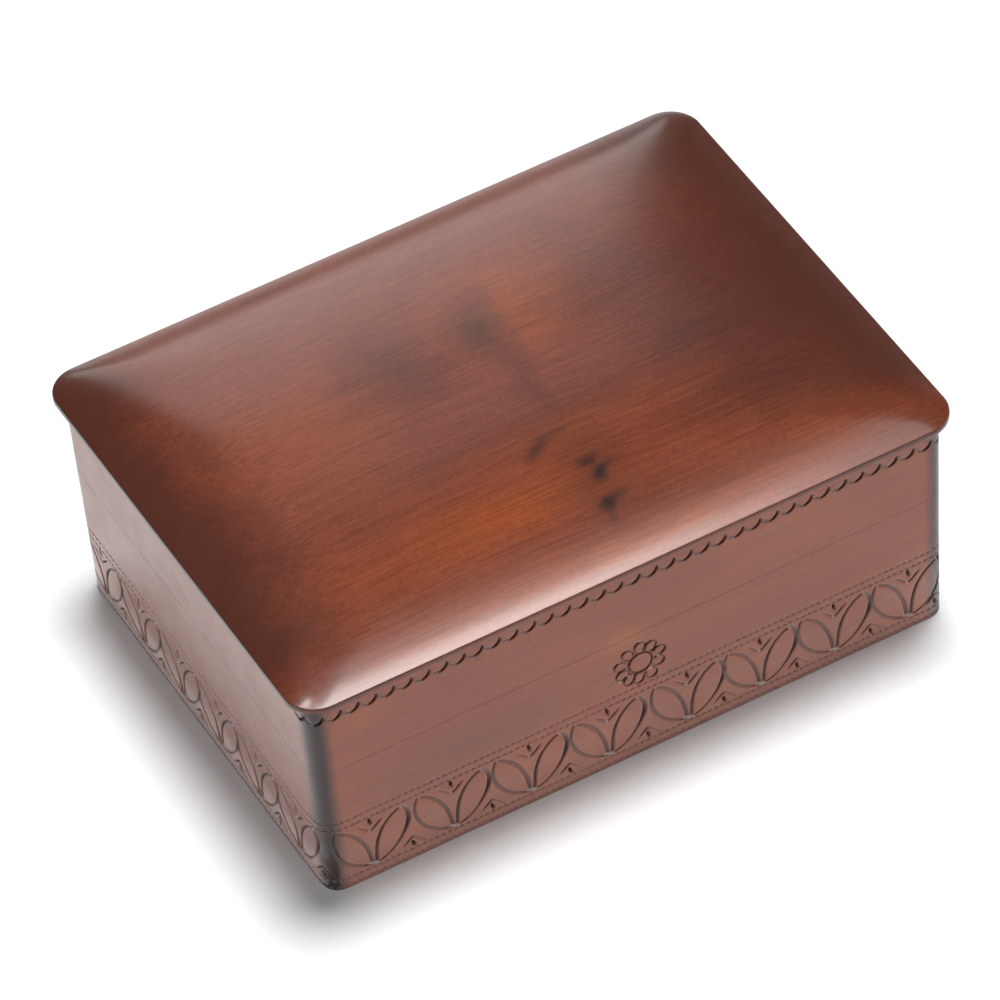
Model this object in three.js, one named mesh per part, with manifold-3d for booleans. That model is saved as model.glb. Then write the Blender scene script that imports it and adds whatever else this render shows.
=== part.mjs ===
// A carved keepsake box of stained linden: a mitred case in two courses of boards, a bottom
// panel held in a groove, and a pillow-domed lid on two brass butt hinges.
// Millimetres, +Z up, +X to the right, the front towards -Y. The origin is the middle of the
// rectangle that the case stands on.
import * as THREE from 'three';
import { mergeVertices } from 'three/addons/utils/BufferGeometryUtils.js';
import Module from 'manifold-3d';

const wasm = await Module();
wasm.setup();

// Case
const caseWidth = 250;            // over the walls at their top edge
const caseDepth = 182;
const wallHeight = 94.5;
const wallThickness = 10;         // at the top edge
const wallLean = 1.6;             // how far each outer face leans in from the top edge to the foot
const cornerRadius = 6.5;         // upright corners, rounded over the mitres
const seamHeight = 60;            // glue line between the lower and the upper course of boards
const mitreGlue = 0.1;            // glue line in each mitre

// Bottom panel
const panelThickness = 4;
const panelHeight = 6;            // underside of the panel above the foot
const panelTongue = 3.7;          // how far the panel reaches into the walls
const grooveSlack = 0.3;          // room left beyond and above the panel in its groove

// Lid
const lidOverhang = 4.3;          // past the top edge of the walls, all round
const lidCornerRadius = 12.5;
const rimThickness = 2.6;         // the thin flat rim around the dome
const rimArris = 0.4;             // small chamfer on both edges of the rim
const domeRise = 12;              // height of the dome above the rim
const lidGap = 0.3;               // between the walls' top edge and the lid's underside
const domeFullness = 4;           // how fast the dome levels out: the power of its section
const domeCornerShare = 0.6;      // how much the contours' corner radius grows with their inset
const domeLevelShare = 0.85;      // the share of the half depth over which the dome still rises

// Hinges
const hingeInset = 55;            // from the case's side to the middle of the nearer hinge
const hingeLength = 30;
const leafReach = 8.5;            // from the pin's centre line to the leaf's inner edge
const leafThickness = 1;
const barrelRadius = 1.8;
const pinRadius = 0.9;
const pinRunningClearance = 0.1;
const pinProud = 0.3;             // how far the pin's ends stand past the barrel
const pinArris = 0.2;
const pinOffset = 0.5;            // centre line of the pins behind the back wall's face
const knuckleCount = 5;           // along one hinge, the odd ones on the case's leaf
const knuckleGap = 0.2;           // between neighbouring knuckles
const mortiseSlack = 0.2;         // around a leaf in its mortise
const barrelSlack = 0.3;          // around the barrel in its notch

// Screws
const screwsPerLeaf = 3;
const screwEndMargin = 5;          // from the leaf's ends to the outer screws' centre lines
const screwSetback = 3.2;         // from the leaf's inner edge to the screws' centre line
const screwHeadRadius = 1.5;
const screwShankRadius = 0.8;
const screwLength = 5.5;
const screwHeadDepth = 0.7;
const screwTipLength = 1.4;
const screwSlack = 0.08;          // between a screw and its hole

// How finely curves are cut into facets, and how far a cutting solid runs past what it cuts
const cornerFacets = 10;
const roundFacets = 16;
const screwFacets = 12;
const domeRings = 11;
const domeRingCrowding = 1.7;     // above 1, the rings lie closer together near the rim
const overrun = 1;

// Worked out from the sizes above
const halfWidth = caseWidth / 2;
const halfDepth = caseDepth / 2;
const innerWidth = caseWidth - 2 * wallThickness;
const innerDepth = caseDepth - 2 * wallThickness;
const lidUnderside = wallHeight + lidGap;
const lidHalfWidth = halfWidth + lidOverhang;
const lidHalfDepth = halfDepth + lidOverhang;
const pinY = halfDepth + pinOffset;
const pinZ = wallHeight + lidGap / 2;
const leafEdgeY = pinY - leafReach;
const screwY = leafEdgeY + screwSetback;
const boreRadius = pinRadius + pinRunningClearance;
const knucklePitch = hingeLength / knuckleCount;
const hingeX = halfWidth - hingeInset;
const screwSpacing = (hingeLength - 2 * screwEndMargin) / (screwsPerLeaf - 1);

// Materials
const stainedWall = new THREE.MeshStandardMaterial({ color: 0x6e3a2b, roughness: 0.42, metalness: 0 });
const stainedLid = new THREE.MeshStandardMaterial({ color: 0x6b2c17, roughness: 0.36, metalness: 0 });
const stainedPanel = new THREE.MeshStandardMaterial({ color: 0x7a4a31, roughness: 0.6, metalness: 0 });
const brass = new THREE.MeshStandardMaterial({ color: 0xb58a43, roughness: 0.34, metalness: 1 });

// A closed geometry as a solid for joining and cutting
function toSolid(geometry) {
  geometry.deleteAttribute('normal');
  geometry.deleteAttribute('uv');
  const welded = mergeVertices(geometry);
  return new wasm.Manifold(new wasm.Mesh({
    numProp: 3,
    vertProperties: Float32Array.from(welded.attributes.position.array),
    triVerts: Uint32Array.from(welded.index.array),
  }));
}

// A solid back to a geometry with flat facets
function toGeometry(solid) {
  const mesh = solid.getMesh();
  const indexed = new THREE.BufferGeometry();
  indexed.setAttribute('position', new THREE.BufferAttribute(mesh.vertProperties, 3));
  indexed.setIndex(new THREE.BufferAttribute(mesh.triVerts, 1));
  const geometry = indexed.toNonIndexed();
  geometry.computeVertexNormals();
  return geometry;
}

// A block between two corners
function block(low, high) {
  const geometry = new THREE.BoxGeometry(high[0] - low[0], high[1] - low[1], high[2] - low[2]);
  geometry.translate((low[0] + high[0]) / 2, (low[1] + high[1]) / 2, (low[2] + high[2]) / 2);
  return toSolid(geometry);
}

// An outline in plan, raised from one height to another
function prism(shape, low, high) {
  const geometry = new THREE.ExtrudeGeometry(shape, {
    depth: high - low, bevelEnabled: false, curveSegments: cornerFacets,
  });
  geometry.translate(0, 0, low);
  return geometry;
}

// A round bar or tube along X, centred on the pin's line
function barAlongX(radius, low, high) {
  const geometry = new THREE.CylinderGeometry(radius, radius, high - low, roundFacets);
  geometry.rotateZ(Math.PI / 2);
  geometry.translate((low + high) / 2, pinY, pinZ);
  return toSolid(geometry);
}

// Case walls

function roundedRectangle(halfX, halfY, radius) {
  const shape = new THREE.Shape();
  shape.absarc(halfX - radius, halfY - radius, radius, 0, Math.PI / 2);
  shape.absarc(radius - halfX, halfY - radius, radius, Math.PI / 2, Math.PI);
  shape.absarc(radius - halfX, radius - halfY, radius, Math.PI, 1.5 * Math.PI);
  shape.absarc(halfX - radius, radius - halfY, radius, 1.5 * Math.PI, 2 * Math.PI);
  return shape;
}

// The outside of the case: a rounded block whose faces lean in towards the foot
function caseOutside() {
  const geometry = prism(roundedRectangle(halfWidth, halfDepth, cornerRadius), 0, wallHeight);
  const position = geometry.attributes.position;
  for (let i = 0; i < position.count; i += 1) {
    const lean = wallLean * (1 - position.getZ(i) / wallHeight);
    position.setX(i, position.getX(i) - lean * Math.sign(position.getX(i)));
    position.setY(i, position.getY(i) - lean * Math.sign(position.getY(i)));
  }
  return toSolid(geometry);
}

// The plan of one wall: its inner face and the two mitres, open past the outer face.
// The mitres run at 45 degrees through the case's square corners, half a glue line back.
function wallPlan(halfSpan, halfCross) {
  const setBack = mitreGlue * Math.SQRT1_2;
  const inner = halfSpan - wallThickness - setBack;
  const outer = halfSpan + overrun - setBack;
  return new THREE.Shape([
    new THREE.Vector2(-outer, -halfCross - overrun),
    new THREE.Vector2(outer, -halfCross - overrun),
    new THREE.Vector2(inner, wallThickness - halfCross),
    new THREE.Vector2(-inner, wallThickness - halfCross),
  ]);
}

// One board of a wall between two heights. The turn brings the front's plan to its side.
function wallBoard(turn, low, high) {
  const quarter = turn % 2 === 1;
  const plan = quarter ? wallPlan(halfDepth, halfWidth) : wallPlan(halfWidth, halfDepth);
  const geometry = prism(plan, low, high);
  geometry.rotateZ(turn * Math.PI / 2);
  return caseOutside().intersect(toSolid(geometry));
}

// The groove for the bottom panel, cut as one block through all four walls
function panelGroove() {
  const reach = wallThickness - panelTongue - grooveSlack;
  return block(
    [reach - halfWidth, reach - halfDepth, panelHeight],
    [halfWidth - reach, halfDepth - reach, panelHeight + panelThickness + grooveSlack],
  );
}

function bottomPanel() {
  const reachX = innerWidth / 2 + panelTongue;
  const reachY = innerDepth / 2 + panelTongue;
  return block([-reachX, -reachY, panelHeight], [reachX, reachY, panelHeight + panelThickness]);
}

// Lid

// One contour of the lid as a ring of points at a height, always with the same count
function contour(inset, radius, height) {
  const points = [];
  const x = lidHalfWidth - inset - radius;
  const y = lidHalfDepth - inset - radius;
  const centres = [[x, y], [-x, y], [-x, -y], [x, -y]];
  centres.forEach(([cx, cy], corner) => {
    for (let i = 0; i <= cornerFacets; i += 1) {
      const angle = (corner + i / cornerFacets) * Math.PI / 2;
      points.push([cx + radius * Math.cos(angle), cy + radius * Math.sin(angle), height]);
    }
  });
  return points;
}

// The height of the dome above the rim at a distance in from the rim's edge
function domeHeight(distance) {
  const share = Math.min(distance / lidHalfDepth, 1);
  return domeRise * (1 - (1 - share) ** domeFullness);
}

// A closed solid through a stack of rings, with a flat face at each end
function loft(rings) {
  const count = rings[0].length;
  const triangles = [];
  for (let r = 0; r + 1 < rings.length; r += 1) {
    for (let i = 0; i < count; i += 1) {
      const a = r * count + i;
      const b = r * count + (i + 1) % count;
      triangles.push(a, b, b + count, a, b + count, a + count);
    }
  }
  const last = (rings.length - 1) * count;
  for (let i = 1; i + 1 < count; i += 1) {
    triangles.push(0, i + 1, i);
    triangles.push(last, last + i, last + i + 1);
  }
  const geometry = new THREE.BufferGeometry();
  geometry.setAttribute('position', new THREE.Float32BufferAttribute(rings.flat(2), 3));
  geometry.setIndex(triangles);
  return toSolid(geometry);
}

// The lid board: chamfered rim, then contours that round off as the dome rises
function lidBoard() {
  const rimTop = lidUnderside + rimThickness;
  const arrisRadius = lidCornerRadius - rimArris;
  const rings = [
    contour(rimArris, arrisRadius, lidUnderside),
    contour(0, lidCornerRadius, lidUnderside + rimArris),
    contour(0, lidCornerRadius, rimTop - rimArris),
    contour(rimArris, arrisRadius, rimTop),
  ];
  for (let i = 1; i <= domeRings; i += 1) {
    const distance = domeLevelShare * lidHalfDepth * (i / domeRings) ** domeRingCrowding;
    const inset = rimArris + distance;
    const radius = Math.min(arrisRadius + domeCornerShare * distance, lidHalfDepth - inset);
    rings.push(contour(inset, radius, rimTop + domeHeight(distance)));
  }
  return loft(rings);
}

// Hinges

// The stretch along X of one knuckle, counted from the hinge's left end
function knuckleSpan(middle, index) {
  const start = middle - hingeLength / 2 + index * knucklePitch;
  const first = index === 0 ? 0 : knuckleGap / 2;
  const last = index === knuckleCount - 1 ? 0 : knuckleGap / 2;
  return [start + first, start + knucklePitch - last];
}

// A leaf with its knuckles; side is -1 for the leaf in the wall and 1 for the one in the lid
function hingeLeaf(middle, side) {
  const face = pinZ + side * lidGap / 2;
  const back = face + side * leafThickness;
  const low = Math.min(face, back);
  const high = Math.max(face, back);
  const plateEdge = pinY - barrelRadius - knuckleGap;
  let leaf = block([middle - hingeLength / 2, leafEdgeY, low], [middle + hingeLength / 2, plateEdge, high]);
  for (let index = side < 0 ? 0 : 1; index < knuckleCount; index += 2) {
    const [start, end] = knuckleSpan(middle, index);
    leaf = leaf.add(block([start, leafEdgeY, low], [end, pinY, high]));
    leaf = leaf.add(barAlongX(barrelRadius, start, end));
  }
  const bore = barAlongX(boreRadius, middle - hingeLength, middle + hingeLength);
  return leaf.subtract(bore);
}

function hingePin(middle) {
  const half = hingeLength / 2 + pinProud;
  const profile = [
    new THREE.Vector2(0, -half),
    new THREE.Vector2(pinRadius - pinArris, -half),
    new THREE.Vector2(pinRadius, pinArris - half),
    new THREE.Vector2(pinRadius, half - pinArris),
    new THREE.Vector2(pinRadius - pinArris, half),
    new THREE.Vector2(0, half),
  ];
  const geometry = new THREE.LatheGeometry(profile, roundFacets);
  geometry.rotateZ(Math.PI / 2);
  geometry.translate(middle, pinY, pinZ);
  return toSolid(geometry);
}

// Room for one hinge in the wood: a mortise as deep as the leaf and a notch for the barrel
function hingeRecess(middle, side) {
  const face = pinZ + side * lidGap / 2;
  const past = face - side * overrun;
  const mortise = face + side * leafThickness;
  const notch = pinZ + side * (barrelRadius + barrelSlack);
  const halfLength = hingeLength / 2 + mortiseSlack;
  const halfNotch = hingeLength / 2 + pinProud + mortiseSlack;
  const notchFront = pinY - barrelRadius - barrelSlack;
  const behind = lidHalfDepth + overrun;
  return block(
    [middle - halfLength, leafEdgeY - mortiseSlack, Math.min(past, mortise)],
    [middle + halfLength, behind, Math.max(past, mortise)],
  ).add(block(
    [middle - halfNotch, notchFront, Math.min(past, notch)],
    [middle + halfNotch, behind, Math.max(past, notch)],
  ));
}

// Screws

// A countersunk screw, or with a slack the hole that it sits in. It points down for the leaf
// in the wall, side -1, and up for the one in the lid.
function screw(x, side, slack) {
  const top = slack > 0 ? overrun : 0;
  const headRadius = screwHeadRadius + slack;
  const shankRadius = screwShankRadius + slack;
  const profile = [
    new THREE.Vector2(0, -screwLength - slack),
    new THREE.Vector2(shankRadius, screwTipLength - screwLength - slack),
    new THREE.Vector2(shankRadius, -screwHeadDepth),
    new THREE.Vector2(headRadius, 0),
  ];
  if (slack > 0) profile.push(new THREE.Vector2(headRadius, top));
  profile.push(new THREE.Vector2(0, top));
  const geometry = new THREE.LatheGeometry(profile, screwFacets);
  geometry.rotateX(side < 0 ? Math.PI / 2 : -Math.PI / 2);
  geometry.translate(x, screwY, pinZ + side * lidGap / 2);
  return toSolid(geometry);
}

function screwPlaces(middle) {
  const first = middle - screwSpacing * (screwsPerLeaf - 1) / 2;
  return Array.from({ length: screwsPerLeaf }, (_, i) => first + i * screwSpacing);
}

// Assembly

const box = new THREE.Group();
const lidGroup = new THREE.Group();
box.add(lidGroup);

function addPiece(group, name, solid, material) {
  const mesh = new THREE.Mesh(toGeometry(solid), material);
  mesh.name = name;
  group.add(mesh);
}

const hinges = [
  { name: 'left', middle: -hingeX },
  { name: 'right', middle: hingeX },
];

const walls = ['front', 'right', 'back', 'left'];
walls.forEach((name, turn) => {
  const lower = wallBoard(turn, 0, seamHeight).subtract(panelGroove());
  let upper = wallBoard(turn, seamHeight, wallHeight);
  if (name === 'back') {
    for (const hinge of hinges) {
      upper = upper.subtract(hingeRecess(hinge.middle, -1));
      for (const x of screwPlaces(hinge.middle)) upper = upper.subtract(screw(x, -1, screwSlack));
    }
  }
  addPiece(box, `${name}_wall_lower_board`, lower, stainedWall);
  addPiece(box, `${name}_wall_upper_board`, upper, stainedWall);
});

addPiece(box, 'bottom_panel', bottomPanel(), stainedPanel);

let lid = lidBoard();
for (const hinge of hinges) {
  lid = lid.subtract(hingeRecess(hinge.middle, 1));
  for (const x of screwPlaces(hinge.middle)) lid = lid.subtract(screw(x, 1, screwSlack));
}
addPiece(lidGroup, 'lid_board', lid, stainedLid);

for (const { name, middle } of hinges) {
  for (const [group, place, side] of [[box, 'case', -1], [lidGroup, 'lid', 1]]) {
    let leaf = hingeLeaf(middle, side);
    screwPlaces(middle).forEach((x, i) => {
      leaf = leaf.subtract(screw(x, side, screwSlack));
      addPiece(group, `${name}_hinge_${place}_screw_${i + 1}`, screw(x, side, 0), brass);
    });
    addPiece(group, `${name}_hinge_${place}_leaf`, leaf, brass);
  }
  addPiece(box, `${name}_hinge_pin`, hingePin(middle), brass);
}

export default box;
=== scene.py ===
import math

import bpy
import numpy as np
from mathutils import Matrix, Vector


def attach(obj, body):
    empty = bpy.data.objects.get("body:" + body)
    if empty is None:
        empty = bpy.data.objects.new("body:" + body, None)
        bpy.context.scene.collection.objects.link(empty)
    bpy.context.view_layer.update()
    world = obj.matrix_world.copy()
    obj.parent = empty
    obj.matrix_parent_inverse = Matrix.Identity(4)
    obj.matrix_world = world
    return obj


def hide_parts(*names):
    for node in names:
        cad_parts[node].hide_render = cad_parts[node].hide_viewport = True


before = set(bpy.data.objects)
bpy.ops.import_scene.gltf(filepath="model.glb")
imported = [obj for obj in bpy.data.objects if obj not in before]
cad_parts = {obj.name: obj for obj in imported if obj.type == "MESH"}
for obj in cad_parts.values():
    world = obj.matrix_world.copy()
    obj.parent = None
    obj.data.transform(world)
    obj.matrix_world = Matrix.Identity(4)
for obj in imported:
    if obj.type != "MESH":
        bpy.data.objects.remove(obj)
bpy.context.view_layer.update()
millimetre = 0.001  # in metres; all sizes below are in millimetres


def addObject(name, data):
    # A new object in the scene
    thing = bpy.data.objects.new(name, data)
    bpy.context.scene.collection.objects.link(thing)
    return thing


# Camera: the photograph's long lens, looking down on the front and the left wall
cameraView = {"azimuth": -25.69, "elevation": 45.46, "roll": -5.32, "distance": 2825.6,
              "aim": (18.34, 43.5, 0.0), "lens": 284.6, "shift": (-0.0005, 0.0005), "clip": (0.1, 50.0)}


def makeCamera(view):
    # The camera stands on a sphere about the aim point, and rolls about its own line of sight
    az, el, roll = (math.radians(view[k]) for k in ("azimuth", "elevation", "roll"))
    back = Vector((math.sin(az) * math.cos(el), -math.cos(az) * math.cos(el), math.sin(el)))
    right = Vector((0, 0, 1)).cross(back).normalized()
    up = back.cross(right)
    side = right * math.cos(roll) + up * math.sin(roll)
    top = up * math.cos(roll) - right * math.sin(roll)
    camera = addObject("camera", bpy.data.cameras.new("camera"))
    camera.data.lens = view["lens"]
    camera.data.clip_start, camera.data.clip_end = view["clip"]
    camera.data.shift_x, camera.data.shift_y = view["shift"]
    turn = Matrix((side, top, back)).transposed().to_4x4()
    place = Vector(view["aim"]) * millimetre + back * view["distance"] * millimetre
    camera.matrix_world = Matrix.Translation(place) @ turn
    bpy.context.scene.camera = camera


makeCamera(cameraView)
print("camera placed")

# Shader helpers


def setInputs(tree, node, values):
    # A socket is linked to the input, anything else becomes the input's own value
    for key, value in values.items():
        if isinstance(value, bpy.types.NodeSocket):
            tree.links.new(value, node.inputs[key])
        else:
            node.inputs[key].default_value = value


def addNode(tree, kind, values=None, **properties):
    # A node with its properties and inputs set
    node = tree.nodes.new(kind)
    for key, value in properties.items():
        setattr(node, key, value)
    setInputs(tree, node, values or {})
    return node


def calc(tree, operation, a, b, clamp=False):
    # One sum of two numbers
    return addNode(tree, "ShaderNodeMath", {0: a, 1: b}, operation=operation, use_clamp=clamp).outputs[0]


def vectorCalc(tree, operation, a, b):
    # One sum of two vectors, axis by axis
    return addNode(tree, "ShaderNodeVectorMath", {0: a, 1: b}, operation=operation).outputs[0]


def blend(tree, share, a, b, kind="MIX"):
    # From colour a to colour b by a share
    node = addNode(tree, "ShaderNodeMix", {0: share, 6: a, 7: b}, data_type="RGBA", blend_type=kind)
    return node.outputs[2]


def smoothRange(tree, value, low, high, atLow=0.0, atHigh=1.0):
    # A soft step as the value goes from low to high
    return addNode(tree, "ShaderNodeMapRange", {0: value, 1: low, 2: high, 3: atLow, 4: atHigh},
                   interpolation_type="SMOOTHSTEP").outputs[0]


def stretched(tree, coordinates, scale):
    # Coordinates scaled by axis, for a pattern with a direction
    return addNode(tree, "ShaderNodeMapping", {"Vector": coordinates, "Scale": scale}).outputs[0]


def noise(tree, coordinates, scale, detail=3.0, rough=0.5):
    # Cloudy noise about 0.5, its clouds about 1 / scale wide
    return addNode(tree, "ShaderNodeTexNoise", {"Vector": coordinates, "Scale": scale, "Detail": detail,
                                                "Roughness": rough}).outputs[0]


def attribute(tree, name):
    # A value that the piece's points carry
    return addNode(tree, "ShaderNodeAttribute", attribute_name=name).outputs["Fac"]


def bumped(tree, height):
    # A bump half as high as the height in millimetres
    return addNode(tree, "ShaderNodeBump", {"Height": height, "Strength": 0.5, "Distance": millimetre}).outputs[0]


def softSpot(tree, coordinates, place, reach, turn):
    # 1 at a place, falling smoothly to 0 on an ellipsoid with that reach; two numbers leave the height open
    local = addNode(tree, "ShaderNodeMapping", {"Vector": coordinates, "Location": (*place, 0)[:3],
                                                "Rotation": (0, 0, math.radians(turn)), "Scale": (*reach, 1e4)[:3]},
                    vector_type="TEXTURE").outputs[0]
    near = addNode(tree, "ShaderNodeTexGradient", {"Vector": local}, gradient_type="SPHERICAL").outputs[1]
    return smoothRange(tree, near, 0.0, 1.0)


def spotsTogether(tree, spots, coordinates):
    # Soft spots added up, 1 at most: (place, reach, turn, strength) each
    total = 0.0
    for *spot, strength in spots:
        total = calc(tree, "ADD", total, calc(tree, "MULTIPLY", softSpot(tree, coordinates, *spot), strength), True)
    return total


def newMaterial(name):
    # A material with its tree, its main shader and Object coordinates in millimetres
    material = bpy.data.materials.new(name)
    material.use_nodes = True
    tree = material.node_tree
    place = addNode(tree, "ShaderNodeTexCoord").outputs["Object"]
    return material, tree, tree.nodes["Principled BSDF"], stretched(tree, place, (1 / millimetre,) * 3)


# Stained linden: fine grain along the board, broad clouds of stain, and a satin lacquer
# edge: edge stain and painted shade on the upright corners, painted shade along the wall's foot, a dark seam line,
# stain and painted dark reflection on the lid rim; groove: stain and painted shade in the cuts; the grey groove colour
# is a painted reflection and the pale last colour painted highlights
stain = {"wall": (0.300, 0.082, 0.043, 1), "wallWarm": (0.375, 0.115, 0.038, 1),
         "wallDeep": (0.250, 0.068, 0.038, 1), "wallDarkened": (0.225, 0.070, 0.040, 1), "panel": (0.26, 0.10, 0.05, 1),
         "lid": (0.155, 0.036, 0.017, 1), "lidWarm": (0.300, 0.062, 0.011, 1), "lidDark": (0.060, 0.016, 0.009, 1),
         "knot": (0.034, 0.013, 0.010, 1), "edge": (0.036, 0.018, 0.019, 1), "speck": (0.45, 0.30, 0.24, 1),
         "groove": (0.016, 0.005, 0.004, 1), "groovePaintedSheen": (0.100, 0.068, 0.062, 1), "paintedGlint": (0.56, 0.46, 0.43, 1)}
streaks = {"wall": (0.925, 1.07), "lid": (0.78, 1.20), "panel": (0.85, 1.12)}  # darkest and lightest, times colour
lacquer = {"roughness": 0.40, "level": 0.14, "coat": 0.66, "coatRoughness": 0.19, "dullCoat": 0.12,
           "grainBump": 0.02, "poreBump": 0.015}


def woodGrain(tree, place, alongX):
    # Streaks: noise stretched along the board, fine ones about 0.7 mm apart and broad ones about 6 mm, both
    # pushed aside by up to 8 mm where slow noise is high
    def alongBoard(along, across):
        return (along, across, across) if alongX else (across, along, across)

    waver = noise(tree, stretched(tree, place, (0.010, 0.010, 0.010)), 1.0, 1.0)
    push = vectorCalc(tree, "MULTIPLY", waver, (0, 8, 6) if alongX else (8, 0, 6))
    bent = vectorCalc(tree, "ADD", place, push)
    fine = noise(tree, stretched(tree, bent, alongBoard(0.03, 1.4)), 1.0, 3.0, 0.6)
    broad = noise(tree, stretched(tree, bent, alongBoard(0.006, 0.16)), 1.0, 3.0, 0.55)
    return fine, broad


def streaked(tree, colour, fine, place, low, high):
    # A colour times fine streaks and a faint mottle, from low to high
    mottle = noise(tree, place, 0.55, 3.0, 0.6)
    both = calc(tree, "ADD", calc(tree, "MULTIPLY", fine, 0.7), calc(tree, "MULTIPLY", mottle, 0.3))
    return blend(tree, 1.0, colour, smoothRange(tree, both, 0.36, 0.64, low, high), "MULTIPLY")


def lacquered(tree, shader, colour, fine, place, coat, rough=0.0):
    # The lacquer over a colour: gloss varies a little, fine grain and dust nibs stand in the bump
    pores = noise(tree, stretched(tree, place, (0.25, 2.2, 2.2)), 1.0, 2.0)
    gloss, even = noise(tree, place, 0.09, 2.0), lacquer["roughness"] + rough
    bump = bumped(tree, calc(tree, "ADD", calc(tree, "MULTIPLY", fine, lacquer["grainBump"]),
                             calc(tree, "MULTIPLY", pores, lacquer["poreBump"])))
    setInputs(tree, shader, {
        "Base Color": colour, "Roughness": smoothRange(tree, gloss, 0.3, 0.7, even - 0.03, even + 0.04),
        "Specular IOR Level": lacquer["level"], "Coat Weight": coat, "Coat Roughness": lacquer["coatRoughness"],
        "Normal": bump, "Coat Normal": bump})


# Places on the front wall: above the rosette and under the scallops near the corner it is warmer, and left of
# the rosette darker. Each is (x, y, z), (reach in x, y, z), turn, strength.
wallFigure = {"warm": [((-5, -91, 60), (14, 30, 8), 0, 1.0), ((-106, -91, 80), (24, 30, 10), 0, 0.5),
                       ((70, -91, 72), (60, 30, 12), 0, 0.25)],
              "darkened": [((-60, -91, 43), (75, 30, 15), 0, 0.75)]}


def wallWood(name, alongX):
    # Wall boards: even red-brown; edge stain and painted shade on the upright corners, painted shade along the foot,
    # a dark seam line, stain and painted shade in the cuts, painted highlights on the nicks. The coat thins out in the
    # darkest cuts.
    material, tree, shader, place = newMaterial(name)
    fine, broad = woodGrain(tree, place, alongX)
    colour = blend(tree, smoothRange(tree, broad, 0.35, 0.70, 0.0, 0.35), stain["wall"], stain["wallWarm"])
    colour = blend(tree, smoothRange(tree, noise(tree, place, 0.018, 2.0), 0.35, 0.75, 0.0, 0.6),
                   colour, stain["wallDeep"])
    if alongX:
        colour = blend(tree, spotsTogether(tree, wallFigure["warm"], place), colour, stain["wallWarm"])
        colour = blend(tree, spotsTogether(tree, wallFigure["darkened"], place), colour, stain["wallDarkened"])
    else:
        colour = blend(tree, 0.5, colour, stain["wallDarkened"])  # the short walls are darker
    colour = streaked(tree, colour, fine, place, *streaks["wall"])
    # Edge stain and painted shade on the upright corners, painted shade along the foot, a dark joint line along the
    # seam
    colour = blend(tree, attribute(tree, "cornerShade"), colour, stain["edge"])
    # Cuts darken with depth, stain gathered there and painted shade; strokes that rise to the right take painted shade,
    # strokes that fall a painted grey reflection
    tone = attribute(tree, "cutShadedStroke")
    share = calc(tree, "MULTIPLY", attribute(tree, "cutShade"), smoothRange(tree, tone, 0.0, 1.0, 0.58, 0.97))
    colour = blend(tree, share, colour, blend(tree, tone, stain["groovePaintedSheen"], stain["groove"]))
    # Painted highlights low on the nicks
    colour = blend(tree, attribute(tree, "cutPaintedGlint"), colour, stain["paintedGlint"])
    coat = smoothRange(tree, calc(tree, "MULTIPLY", share, tone), 0.0, 1.0, lacquer["coat"], lacquer["dullCoat"])
    lacquered(tree, shader, colour, fine, place, coat)
    return material


wallAlongX = wallWood("wall_wood_along_x", True)
wallAlongY = wallWood("wall_wood_along_y", False)

# The lid's figure, read off the photograph: (x, y), (reach in x, reach in y), turn, strength
lidFigure = {
    "warm": [((-75, 10), (60, 60), 0, 0.35), ((-66, -60), (95, 34), 0, 0.35), ((-24, -60), (60, 18), 0, 0.5),
             ((40, -66), (66, 20), 0, 0.2), ((92, -77), (34, 14), 0, 0.5), ((4, -38), (60, 22), 0, 0.3),
             ((20, 28), (44, 40), 0, 0.5), ((0, -91), (170, 15), 0, 0.8)],
    "dark": [((-28, 20), (34, 36), 10, 0.55), ((6, 24), (15, 28), 0, 0.8), ((9, -6), (10, 30), 0, 0.45),
             ((62, 22), (50, 42), 0, 0.5), ((30, -26), (130, 18), 0, 0.3), ((95, -10), (50, 60), 0, 0.45),
             ((72, -50), (44, 24), 0, 0.5), ((64, -15), (36, 26), 0, 0.45)],
    "knot": [((-6.5, -39), (11, 4.6), 32, 0.62), ((2, -35.3), (11, 3.4), 5, 0.3), ((5.5, -52.6), (8, 3.6), 8, 0.55),
             ((6.2, -59), (6.5, 5), 35, 0.65), ((11, -56.5), (7, 3), 12, 0.35), ((7, -70), (10, 3.4), 8, 0.5),
             ((3.4, -72), (5, 5), 0, 0.65), ((2.6, -78), (3, 6), -5, 0.35), ((5, -58), (24, 34), 0, 0.38)],
    # Each end darkens from the first x to the second, up to a share, and less toward the front, from y to y
    "ends": ((-90, -124), (60, 118)), "endShare": 0.85, "endFront": (-86, -64, 0.3, 1.0),
}


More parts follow.
